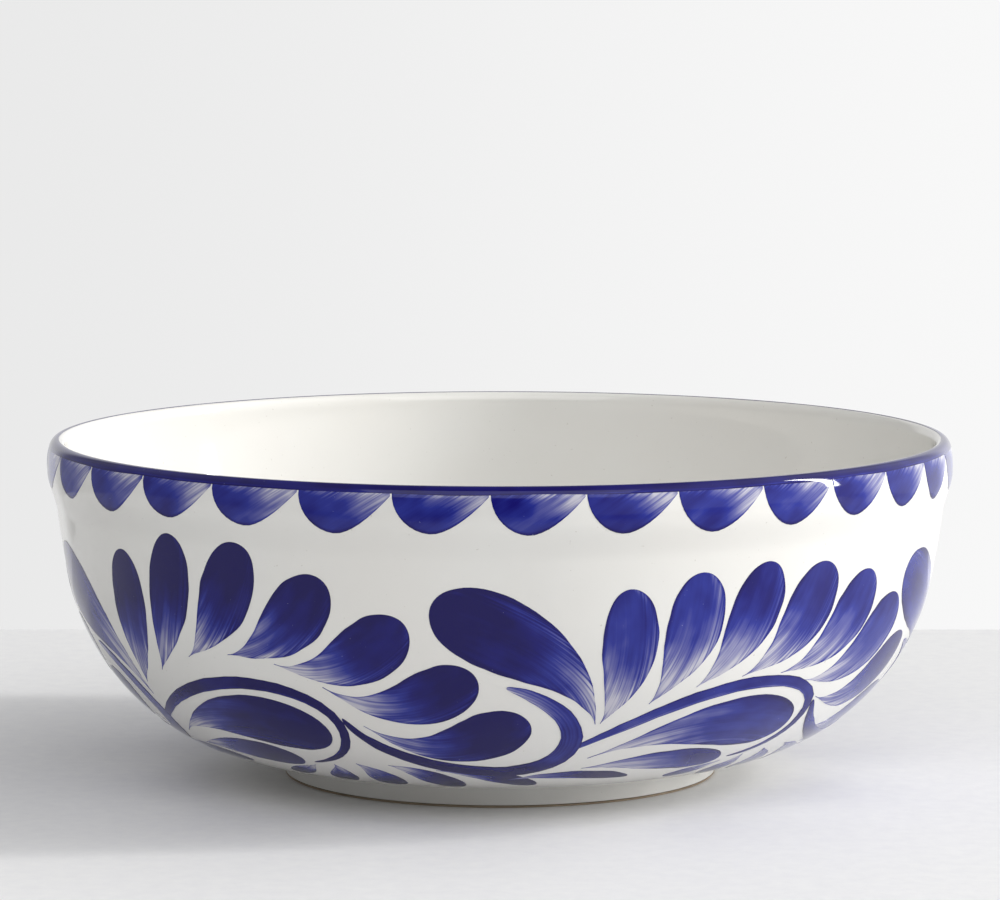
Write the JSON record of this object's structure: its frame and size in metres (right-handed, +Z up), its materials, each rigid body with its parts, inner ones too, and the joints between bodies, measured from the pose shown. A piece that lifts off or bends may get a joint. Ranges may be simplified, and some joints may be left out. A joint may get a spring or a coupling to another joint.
{
  "type": "serving bowl",
  "caption": "Wide round ceramic serving bowl with a curved belly, a raised collar round the rim and a low foot ring it stands on.",
  "frame": {"origin": "middle of the foot ring's resting face, on the bowl's axis", "axes": "+Z up along the bowl's axis of turning, towards the mouth; -Y towards the front view"},
  "size_m": [0.305, 0.305, 0.1144],
  "materials": {
    "clay_body": "fired clay under the glaze, matte",
    "bare_clay": "bare fired clay, matte, slightly gritty",
    "glaze_white": "warm white gloss glaze",
    "cobalt": "cobalt blue brushwork under gloss glaze, deep at the heads of the strokes and thin and streaky at the tails"
  },
  "bodies": {
    "root": {"bowl_body": "clay_body", "rim_collar": "clay_body", "foot_ring": "bare_clay", "glaze_coat": "glaze_white", "base_glaze": "glaze_white"}
  },
  "joints": []
}
